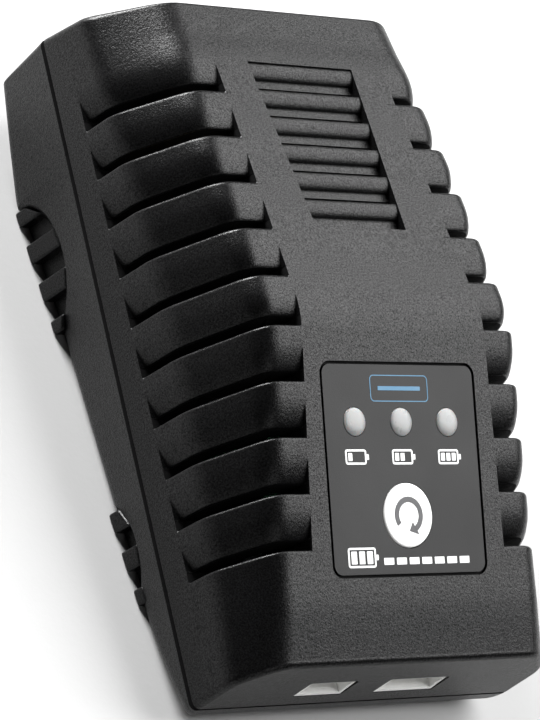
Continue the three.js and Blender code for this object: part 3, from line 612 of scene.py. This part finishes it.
def upper_half_section(y):
    """(points, mask, edge weight) of the right half of the upper section, for each row.

    The mask is 1 where notches cut. The edge weight is 1 on the side wall and 0 on top.
    """
    top = top_height(y)
    shoulder_z = SHOULDER_Z + SHOULDER_RISE * top
    foot = pairs(np.full_like(y, HALF_WIDTH), PARTING_GAP / 2)
    low = pairs(HALF_WIDTH - DRAFT_LOW, np.full_like(y, NOTCH_LOW))
    shoulder = pairs(HALF_WIDTH - DRAFT_SHOULDER, shoulder_z)
    corner = pairs(top_half_width(y) + 0.15, top)
    centre = pairs(np.zeros_like(y), top)
    inner_x = np.interp(y, [NOTCH_LAST, NOTCH_FIRST], [NOTCH_INNER_FRONT, NOTCH_INNER_BACK])
    inner = pairs(inner_x, top)
    shoulder_in = towards(shoulder, low, SHOULDER_REACH[0])
    shoulder_out = towards(shoulder, corner, SHOULDER_REACH[1])
    corner_in = towards(corner, shoulder, CORNER_REACH[0])
    corner_out = towards(corner, centre, CORNER_REACH[1])
    runs = [
        (straight(foot, towards(low, foot, STEP), np.linspace(0, 1, 7)), 0),
        (straight(towards(low, shoulder, STEP), shoulder_in, np.linspace(0, 1, 4)), 1),
        (bezier(shoulder_in, shoulder, shoulder_out, np.linspace(0, 1, 9)[1:]), 1),
        (straight(shoulder_out, corner_in, np.linspace(0, 1, 7)[1:]), 1),
        (bezier(corner_in, corner, corner_out, np.linspace(0, 1, 10)[1:]), 1),
        (straight(corner_out, towards(inner, corner, STEP), np.linspace(0, 1, 5)[1:]), 1),
        (straight(towards(inner, centre, STEP), centre, np.linspace(0, 1, 9)), 0),
    ]
    points = np.concatenate([run for run, _ in runs], axis=1)
    mask = np.concatenate([np.full(run.shape[1], float(cuts)) for run, cuts in runs])
    height = (points[..., 1] - shoulder_z[:, None]) / (top - shoulder_z)[:, None]
    return points, mask, 1 - smooth_step(height)


def lower_half_section(y):
    """The same for the lower shell, whose mask is 0 everywhere."""
    base = base_height(y)
    foot = pairs(np.full_like(y, HALF_WIDTH), -PARTING_GAP / 2)
    taper = np.interp(y, TAPER_CHANGE, [SIDE_TAPER, SIDE_TAPER_BACK])
    corner = pairs(HALF_WIDTH + base * taper, base)
    centre = pairs(np.zeros_like(y), base)
    corner_in = towards(corner, foot, LOWER_CORNER_REACH)
    corner_out = towards(corner, centre, LOWER_CORNER_REACH)
    runs = [
        straight(foot, corner_in, np.linspace(0, 1, 6)),
        bezier(corner_in, corner, corner_out, np.linspace(0, 1, 7)[1:]),
        straight(corner_out, centre, np.linspace(0, 1, 5)[1:]),
    ]
    points = np.concatenate(runs, axis=1)
    weight = 1 - smooth_step((-points[..., 1]) / (-base)[:, None])
    return points, np.zeros(points.shape[1]), weight


def full_section(half):
    """Both halves of a section, from the right edge over the centre to the left edge."""
    points, mask, weight = half
    left = points[:, -2::-1] * np.array([-1, 1])
    return (
        np.concatenate([points, left], axis=1),
        np.concatenate([mask, mask[-2::-1]]),
        np.concatenate([weight, weight[:, -2::-1]], axis=1),
    )


def notch_rows():
    """(y, depth, lip) rows along the notches: each fin is flush and sinks towards its slot.

    The slot's edges turn inwards, so the wall is deeper there by the lip.
    """
    profile = [
        (NOTCH_BACK_REACH, 0.0, 0), (6.2, 0.0, 0), (5.4, 0.02, 0), (4.7, 0.09, 0), (4.0, 0.2, 0),
        (3.5, 0.33, 0), (3.0, 0.47, 0), (2.6, 0.6, 0), (2.25, 0.74, 0), (1.95, 0.88, 1),
        (1.75, 1.0, 1), (SLOT_WIDTH + 0.1, 1.14, 1), (SLOT_WIDTH + 0.03, 1.4, 1),
        (SLOT_WIDTH - 0.02, SLOT_DEPTH, 1), (0.03, SLOT_DEPTH, 1), (-0.03, 0.3, 1),
        (-0.12, 0.14, 1), (-0.25, 0.045, 1), (-0.4, 0.0, 1), (-NOTCH_FRONT_REACH, 0.0, 0),
    ]
    return [
        (NOTCH_FIRST - NOTCH_PITCH * index + along, depth, lip)
        for index in range(NOTCHES)
        for along, depth, lip in profile
    ]


def skin(half_section, flip, rows, inset, lean):
    """A grid of points along the case: (rows, columns, 3), with rounded, leaning ends.

    Each end turns in over a few rows, with a larger radius on the side walls than on top.
    """
    turn = np.linspace(0, math.pi / 2, 8)
    table = [(BACK_END - inset, 0, 0, theta, 1) for theta in turn[::-1]]
    table += [(y, depth, lip, 0, 0) for y, depth, lip in rows]
    table += [(inset - FRONT_END, 0, 0, theta, -1) for theta in turn]
    along, depth, lip, angle, side = np.array(table, float).T

    points, mask, weight = full_section(half_section(along))
    direction = np.gradient(points, axis=1)
    direction /= np.linalg.norm(direction, axis=2, keepdims=True)
    inward = np.stack([-direction[..., 1], direction[..., 0]], axis=-1) * flip

    corner = max(CORNER_RADIUS - inset, LEAST_RADIUS)
    edge = np.maximum(np.where(side > 0, EDGE_BACK, EDGE_FRONT)[:, None] - inset, LEAST_RADIUS)
    radius = edge + (corner - edge) * weight
    sink = inset + radius * (1 - np.cos(angle))[:, None]
    notched = lip * SLOT_LIP if inset else depth
    sink = sink + notched[:, None] * mask[None, :]
    section = points + inward * sink[..., None]
    height = points[..., 1]
    y = along[:, None] - side[:, None] * radius * (1 - np.sin(angle))[:, None]
    ends = smooth_step((np.abs(along) - LEAN_START) / LEAN_RUN)[:, None]
    front, back = lean
    y = y + ends * np.where(side[:, None] + (along[:, None] > 0) > 0, -back, front) * height
    grid = np.stack([section[..., 0], y, section[..., 1]], axis=-1)
    return grid, depth, mask


def shell_mesh(half_section, flip, rows, lean):
    """Outer and inner skins, sewn together along the parting edge and the slots."""
    outer, depth, mask = skin(half_section, flip, rows, 0.0, lean)
    inner, _, _ = skin(half_section, flip, rows, WALL, lean)
    count, columns = outer.shape[:2]
    open_slot = (depth[:, None] >= SLOT_DEPTH) & (mask[None, :] > 0)

    def number(skin_index, row, column):
        return (skin_index * count + row) * columns + column

    faces, finishes = [], []
    for row in range(count - 1):
        for column in range(columns - 1):
            corners = [(row, column), (row + 1, column), (row + 1, column + 1), (row, column + 1)]
            if all(open_slot[corner] for corner in corners):
                continue
            faces.append(tuple(number(0, *corner) for corner in corners))
            faces.append(tuple(number(1, *corner) for corner in corners[::-1]))
            finishes += [int(any(open_slot[corner] for corner in corners)), 1]
        for column in (0, columns - 1):
            faces.append((
                number(0, row, column), number(0, row + 1, column),
                number(1, row + 1, column), number(1, row, column),
            ))
            finishes.append(1)
    for row in (0, count - 1):
        faces.append(tuple(number(0, row, column) for column in range(columns)))
        faces.append(tuple(number(1, row, column) for column in range(columns)))
        faces.append((
            number(0, row, 0), number(0, row, columns - 1),
            number(1, row, columns - 1), number(1, row, 0),
        ))
        finishes += [0, 1, 1]
    points = np.concatenate([outer.reshape(-1, 3), inner.reshape(-1, 3)])
    return sewn(mesh_from(points, faces, PARTING_TO_ROW, finishes), 1e-6)


# ---------------------------------------------------------------- upper shell

def plain_rows(start, end, spacing):
    """Even (y, depth, lip) rows where nothing is cut, without the end itself."""
    count = max(2, int(round(abs(start - end) / spacing)))
    return [(y, 0.0, 0) for y in np.linspace(start, end, count, endpoint=False)]


def upper_rows():
    return [
        *plain_rows(ROWS_BACK, NOTCH_FIRST + NOTCH_BACK_REACH, 0.8),
        *notch_rows(),
        *plain_rows(NOTCH_LAST - NOTCH_FRONT_REACH, ROWS_FRONT, 0.9),
    ]


def vent_cutter():
    """The louvred recess: each slat starts just below the surface and curves down to the floor."""
    pitch = (VENT_FAR - VENT_NEAR) / VENT_SLATS
    band, opening = -1.4, -3.0
    shape = [
        (0.0, -0.42), (0.06, -0.3), (0.18, -0.24), (0.5, -0.2), (1.0, -0.23), (1.4, -0.33),
        (1.75, -0.47), (2.05, -0.64), (2.3, -0.85), (2.42, -1.0), (2.46, band),
        (pitch - 0.98, band), (pitch - 0.96, opening), (pitch - 0.02, opening),
    ]
    bottom = []
    for slat in range(VENT_SLATS):
        bottom += [(VENT_FAR - slat * pitch - along, z) for along, z in shape]
    rings = []
    for y, z in bottom:
        half = np.interp(y, [VENT_NEAR, VENT_FAR], [VENT_HALF_NEAR, VENT_HALF_FAR])
        rings.append([(-half, y, z), (half, y, z), (half, y, 2.0), (-half, y, 2.0)])
    return stack(rings, PARTING_TO_ROW @ BACK_TO_PARTING)


def panel_cutters():
    label = rounded_rectangle(
        LABEL_HALF, (LABEL_BOTTOM - LABEL_TOP) / 2, LABEL_CORNER,
        y=-(LABEL_TOP + LABEL_BOTTOM) / 2, steps=10,
    )
    holes = [circle(LED_RADIUS + 0.1, step * LED_SPACING, -LED_DISTANCE) for step in (-1, 0, 1)]
    holes.append(circle(BUTTON_HOLE, 0, -BUTTON_DISTANCE, 64))
    return (
        [prism(label, -LABEL_RECESS, 2, FRONT_TO_ROW)],
        [prism(hole, -4, 2, FRONT_TO_ROW) for hole in holes],
    )


# How far along Y the cutters for the sockets and the inlet reach, and their clearances.
SOCKET_CUT, SOCKET_GAP = (-60, -45), 0.12
INLET_CUT, INLET_GAP, INLET_RADIUS = (40, 60), 0.15, 1.8


def node_cutter(node, gap, reach_y, radius=0.4):
    """A cutter along Y round a CAD node's box, with a clearance in mm."""
    low, high = ([c / MM for c in corner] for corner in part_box(node))
    outline = rounded_rectangle(
        (high[0] - low[0]) / 2 + gap, (high[2] - low[2]) / 2 + gap, radius,
        (high[0] + low[0]) / 2, (high[2] + low[2]) / 2, 4,
    )
    rings = [[(x, y, z) for x, z in outline] for y in reach_y]
    return stack(rings, ROW_MM)


def upper_shell(materials):
    mesh = shell_mesh(upper_half_section, 1, upper_rows(), (FRONT_LEAN, BACK_LEAN))
    recess, holes = panel_cutters()
    mesh = cut(mesh, [
        vent_cutter(),
        node_cutter("balance_socket_2s", SOCKET_GAP, SOCKET_CUT),
        node_cutter("balance_socket_3s", SOCKET_GAP, SOCKET_CUT),
        node_cutter("mains_inlet_body", INLET_GAP, INLET_CUT, INLET_RADIUS),
    ])
    mesh = cut(cut(mesh, recess, 1), holes, 1)
    return piece(
        "case_top", mesh, [materials["shell_plastic"], materials["case_inside"]], "case",
        ["upper_shell"], 32,
    )


# ---------------------------------------------------------------- lower shell

def arch_outline(grip, grow=0.0, deep=-26.0, steps=28):
    """(y, z) points round a grip's arch, open downwards past the base."""
    start, end = grip["span"]
    middle, half = (start + end) / 2, (end - start) / 2
    foot = flat_base(middle) - ARCH_FOOT
    outline = [(start - grow, deep), (end + grow, deep)]
    for step in range(steps + 1):
        angle = math.pi * step / steps
        outline.append((
            middle + (half + grow) * math.cos(angle),
            foot + (grip["crown"] + grow - foot) * math.sin(angle),
        ))
    return outline


def grip_cutter(grip, side):
    """The recess: an upright floor under the arch, with a flared rim where it meets the wall."""
    layers = [(grip["floor"], 0.0), (grip["rib"] - 0.35, 0.0), (grip["rib"] + 0.6, 0.95), (34, 0.95)]
    rings = [[(side * x, y, z) for y, z in arch_outline(grip, grow)] for x, grow in layers]
    return stack(rings, PARTING_TO_ROW)


def grip_backing(grip, side):
    """A lining behind the recess, so that it stays closed."""
    rings = [
        [(side * x, y, max(z, flat_base(y) + 0.3)) for y, z in arch_outline(grip, 1.5)]
        for x in (grip["floor"] - 1.6, grip["floor"] - 0.05)
    ]
    return stack(rings, PARTING_TO_ROW)


def rib(grip, side, y):
    """A block that stands out of the recess floor: its top follows the arch, down to the base."""
    start, end = grip["span"]
    middle, half = (start + end) / 2, (end - start) / 2
    foot = flat_base(middle) - ARCH_FOOT
    edges = (max(y - RIB_WIDTH / 2, start + 0.5), min(y + RIB_WIDTH / 2, end - 0.5))
    bottoms = [flat_base(edge) + 0.05 for edge in edges]
    rise = grip["crown"] + 0.2 - foot
    tops = []
    for edge, bottom in zip(edges, bottoms):
        arch = math.sqrt(max(0, 1 - ((edge - middle) / half) ** 2))
        tops.append(max(foot + rise * arch, bottom + RIB_LEAST_HEIGHT))
    rings = [
        [
            (side * x, edges[0], bottoms[0]), (side * x, edges[1], bottoms[1]),
            (side * x, edges[1], tops[1]), (side * x, edges[0], tops[0]),
        ]
        for x in (grip["floor"] - 0.8, grip["rib"])
    ]
    return bevelled(stack(rings, PARTING_TO_ROW), 0.45, 4)


def locating_lip():
    """The tongue inside the parting gap, which closes the view into the case."""
    outer = rounded_rectangle(HALF_WIDTH - 2.2, FRONT_END - 2.2, 2.0, steps=8)
    inner = rounded_rectangle(HALF_WIDTH - 3.2, FRONT_END - 3.2, 1.2, steps=8)
    loops = ((outer, -1.2), (outer, 1.2), (inner, 1.2), (inner, -1.2))
    points = [(x, y, z) for loop, z in loops for x, y in loop]
    count = len(outer)
    faces = []
    for row in range(4):
        for i in range(count):
            a, b = row * count + i, row * count + (i + 1) % count
            faces.append((a, b, (b + count) % (4 * count), (a + count) % (4 * count)))
    return sewn(mesh_from(points, faces, PARTING_TO_ROW))


def lower_shell(materials):
    rows = [
        *plain_rows(ROWS_BACK, 36, 1.2), *plain_rows(36, 30, 0.4), *plain_rows(30, -35, 3.0),
        *plain_rows(-35, -41, 0.4), *plain_rows(-41, ROWS_FRONT, 1.0),
    ]
    mesh = shell_mesh(lower_half_section, -1, rows, (0.0, LOWER_BACK_LEAN))
    sides = [(grip, side) for grip in GRIPS for side in (-1, 1)]
    mesh = cut(mesh, [grip_cutter(grip, side) for grip, side in sides])
    screws = []
    for screw in CASE_SCREWS:
        low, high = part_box(screw)
        x, y = (low.x + high.x) / 2 / MM, (low.y + high.y) / 2 / MM
        screws.append(prism(circle(SCREW_HOLE_RADIUS, x, y, 40), -3, 6.3, ROW_MM))
    slots = [
        prism(rounded_rectangle(11, 0.8, 0.75, 0, y, 6), -3, 6, ROW_MM) for y in UNDERSIDE_VENTS
    ]
    plate_low, plate_high = (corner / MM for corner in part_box("rating_label"))
    plate = rounded_rectangle(
        (plate_high.x - plate_low.x) / 2 + 0.3, (plate_high.y - plate_low.y) / 2 + 0.3, 1.5,
        (plate_high.x + plate_low.x) / 2, (plate_high.y + plate_low.y) / 2,
    )
    mesh = cut(mesh, [
        *screws, *slots, prism(plate, -3, 0.8, ROW_MM),
        node_cutter("mains_inlet_body", INLET_GAP, INLET_CUT, INLET_RADIUS),
    ])
    extras = [grip_backing(grip, side) for grip, side in sides]
    extras += [rib(grip, side, y) for grip, side in sides for y in grip["ribs"]]
    mesh = joined([mesh, locating_lip(), *extras])
    return piece(
        "case_bottom", mesh, [materials["shell_plastic"], materials["case_inside"]], "case",
        ["lower_shell"], 32,
    )


# ---------------------------------------------------------------- panel

def label_overlay(materials):
    """The printed film in its recess, with the lamps' and the button's holes."""
    outline = rounded_rectangle(
        LABEL_HALF - LABEL_GAP, (LABEL_BOTTOM - LABEL_TOP) / 2 - LABEL_GAP, LABEL_CORNER - LABEL_GAP,
        y=-(LABEL_TOP + LABEL_BOTTOM) / 2, steps=10,
    )
    film = prism(outline, -LABEL_RECESS - 0.1, -0.04, FRONT_TO_ROW)
    holes = [circle(LED_RADIUS + 0.04, step * LED_SPACING, -LED_DISTANCE) for step in (-1, 0, 1)]
    holes.append(circle(BUTTON_RADIUS + 0.12, 0, -BUTTON_DISTANCE, 64))
    film = cut(film, [prism(hole, -4, 2, FRONT_TO_ROW) for hole in holes])
    return piece(
        "panel_film", bevelled(film, 0.05), materials["label_film"], "case", ["label_overlay"],
    )


def led_window(materials, name, step):
    """A flanged light guide with a low domed top."""
    radius, foot, dome = LED_RADIUS - 0.04, -0.05, 0.42
    profile = [(0, -3), (2.9, -3), (2.9, -2.4), (radius, -2.3), (radius, -0.1)]
    for angle in np.linspace(0.1, 1.45, 9):
        profile.append((radius * math.cos(angle), foot + dome * math.sin(angle)))
    profile.append((0, foot + dome))
    mesh = lathe(profile, 56, FRONT_TO_ROW, step * LED_SPACING, -LED_DISTANCE)
    return piece(
        f"light_guide_{name}", mesh, materials["milky_plastic"], "case", [f"led_window_{name}"],
        50,
    )


def mode_button(materials):
    """The round key, with the flange that holds it under the shell."""
    profile = [(0, -3.1), (6, -3.1), (6, -2.45), (BUTTON_RADIUS, -2.4)]
    for angle in np.linspace(0, math.pi / 2, 6):
        profile.append((
            BUTTON_RADIUS - BUTTON_EDGE + BUTTON_EDGE * math.cos(angle),
            BUTTON_PROUD - BUTTON_EDGE + BUTTON_EDGE * math.sin(angle),
        ))
    profile += [(1.0, BUTTON_PROUD), (0, BUTTON_PROUD)]
    mesh = lathe(profile, 80, FRONT_TO_ROW, 0, -BUTTON_DISTANCE)
    return piece(
        "mode_key_cap", mesh, materials["white_key"], "mode_key", ["mode_button"], 40,
    )


def printed(name, outlines, material, body, height=-0.04):
    """Thin ink shapes on the panel; each outline is a list of (x, distance down) points."""
    shapes = [
        prism([(x, -d) for x, d in outline], height - 0.01, height + INK_THICKNESS, FRONT_TO_ROW)
        for outline in outlines
    ]
    return piece(name, joined(shapes), material, body)


def bar(x, down, half_x, half_y, radius=0.1):
    return rounded_rectangle(half_x, half_y, radius, x, down, 3)


def ring(x, down, half_x, half_y, radius, line):
    """An open rounded rectangle, in two halves."""
    outer = rounded_rectangle(half_x, half_y, radius, x, down)
    inner = rounded_rectangle(half_x - line, half_y - line, radius - line, x, down)
    half = len(outer) // 2
    outer.append(outer[0])
    inner.append(inner[0])
    return [
        outer[start:start + half + 1] + inner[start:start + half + 1][::-1] for start in (0, half)
    ]


def cell_symbol(x, down, charge, half_x=1.85, half_y=0.95):
    """A small battery outline with its first cells filled."""
    cells = 3
    pitch = (2 * half_x - 0.5) / cells
    shapes = ring(x, down, half_x + 0.15, half_y + 0.15, 0.4, 0.3)
    shapes.append(bar(x + half_x + 0.4, down, 0.22, 0.4))
    for index in range(charge):
        middle = x - half_x + 0.25 + (index + 0.5) * pitch
        shapes.append(bar(middle, down, 0.36 * pitch, half_y - 0.38))
    return shapes


def arc_arrow(x, down, radius, width, start, end, steps=40):
    """A round arrow: a ring sector with a triangular head at its end."""
    angles = [math.radians(start + (end - start) * i / steps) for i in range(steps + 1)]
    tip = angles[-1]

    def at(reach, angle):
        return x + (radius + reach) * math.cos(angle), down + (radius + reach) * math.sin(angle)

    outer = [at(width, angle) for angle in angles]
    inner = [at(-width, angle) for angle in angles]
    head = [
        at(reach, tip + turn)
        for reach, turn in ((2.6 * width, -0.05), (0.0, 0.55), (-2.6 * width, -0.05))
    ]
    return [outer + inner[::-1], head]


def panel_print(materials):
    white, blue, dark = materials["white_ink"], materials["blue_ink"], materials["dark_ink"]
    symbols = []
    for step, charge in ((-1, 1), (0, 2), (1, 3)):
        symbols += cell_symbol(step * LED_SPACING - 0.2, LED_DISTANCE + 5.1, charge)
    symbols += cell_symbol(-9.3, 35.6, 3, 2.5, 1.3)
    symbols += [bar(-4.2 + 2.45 * index, 36.2, 0.95, 0.5) for index in range(7)]
    printed("panel_symbols", symbols, white, "case")
    mark = ring(0, 11.1, 5.6, 1.95, 0.7, 0.14) + [bar(0, 11.1, 4.1, 0.3)]
    printed("panel_blue_mark", mark, blue, "case")
    printed(
        "mode_key_symbol", arc_arrow(0, BUTTON_DISTANCE, 2.3, 0.42, -215, 60), dark, "mode_key",
        BUTTON_PROUD,
    )


# ---------------------------------------------------------------- carried-over CAD nodes

ROUNDED = {
    "balance_socket_2s": 0.12, "balance_socket_3s": 0.12, "mains_inlet_body": 0.25,
    "rating_label": 0.05,
}


def finish_cad_nodes(materials):
    """Every CAD node that stays gets its slot's material, merged flats and softened edges."""
    slots = {part["node"]: part["material_slot"] for part in frame["record"]["subparts"]}
    for name, obj in frame["nodes"].items():
        obj.data.materials.clear()
        obj.data.materials.append(materials[slots[name]])
        flats = obj.modifiers.new("flats", "DECIMATE")
        flats.decimate_type = "DISSOLVE"
        flats.angle_limit = math.radians(1)
        edges = obj.modifiers.new("edges", "BEVEL")
        edges.width = ROUNDED.get(name, 0.08) * MM
        edges.segments = 2
        edges.limit_method = "ANGLE"
        edges.angle_limit = math.radians(30)


# ---------------------------------------------------------------- stage, light and camera

# The floor's half width in metres, and the surroundings' brightness.
FLOOR_HALF = 1.6
SURROUND = 0.015


def add_floor():
    mesh = bpy.data.meshes.new("floor")
    work = bmesh.new()
    bmesh.ops.create_grid(work, x_segments=8, y_segments=8, size=FLOOR_HALF)
    work.to_mesh(mesh)
    work.free()
    floor = add_object("floor", mesh, floor_material())


def area_light(name, target, direction, distance, size, power, shape=(1, 1)):
    """A softbox: it sits in that direction from the target and faces it."""
    light = bpy.data.lights.new(name, "AREA")
    light.shape = "RECTANGLE"
    light.size, light.size_y = size * shape[0], size * shape[1]
    light.energy = power
    obj = bpy.data.objects.new(name, light)
    way = Vector(direction).normalized()
    obj.location = Vector(target) + way * distance
    obj.rotation_mode = "QUATERNION"
    obj.rotation_quaternion = way.to_track_quat("Z", "Y")
    bpy.context.collection.objects.link(obj)
    return obj


def add_lights():
    """A large softbox over the right side, a small one low behind, and a weak one in front."""
    centre = (CAD_LOW + CAD_HIGH) / 2
    area_light("key", centre, (0.57, 0.11, 0.80), distance=0.7, size=0.7, power=14.5, shape=(1.2, 1))
    area_light("back_left_fill", centre, (-0.28, 0.90, 0.34), distance=0.8, size=0.3, power=25)
    area_light("front_fill", centre, (-0.25, -0.85, 0.46), distance=0.6, size=0.3, power=0.5)
    world = bpy.data.worlds.new("studio")
    world.use_nodes = True
    background = world.node_tree.nodes["Background"]
    background.inputs["Color"].default_value = (1, 1, 1, 1)
    background.inputs["Strength"].default_value = SURROUND
    bpy.context.scene.world = world


# The camera's place and axes, in metres in the row frame.
CAMERA_PLACE = (-0.3713, -0.22093, 0.4)
CAMERA_RIGHT = (0.76902, -0.30294, 0.56288)
CAMERA_DOWN = (0.01367, -0.87258, -0.48829)
CAMERA_LENS, CAMERA_SENSOR = 192.14, 36


def add_camera():
    data = bpy.data.cameras.new("camera")
    data.sensor_fit = "AUTO"
    data.sensor_width = CAMERA_SENSOR
    data.lens = CAMERA_LENS
    data.clip_start, data.clip_end = 0.01, 20
    camera = bpy.data.objects.new("camera", data)
    right = Vector(CAMERA_RIGHT).normalized()
    up = -Vector(CAMERA_DOWN)
    up = (up - right * up.dot(right)).normalized()
    turn = Matrix((right, up, right.cross(up))).transposed()
    camera.matrix_world = Matrix.Translation(CAMERA_PLACE) @ turn.to_4x4()
    bpy.context.collection.objects.link(camera)
    bpy.context.scene.camera = camera


# ---------------------------------------------------------------- build

bpy.context.scene.view_settings.view_transform = "Standard"
add_camera()
add_lights()
add_floor()
MATERIALS = make_materials()
finish_cad_nodes(MATERIALS)
upper_shell(MATERIALS)
lower_shell(MATERIALS)
label_overlay(MATERIALS)
for side_name, side_step in (("left", -1), ("middle", 0), ("right", 1)):
    led_window(MATERIALS, side_name, side_step)
mode_button(MATERIALS)
panel_print(MATERIALS)
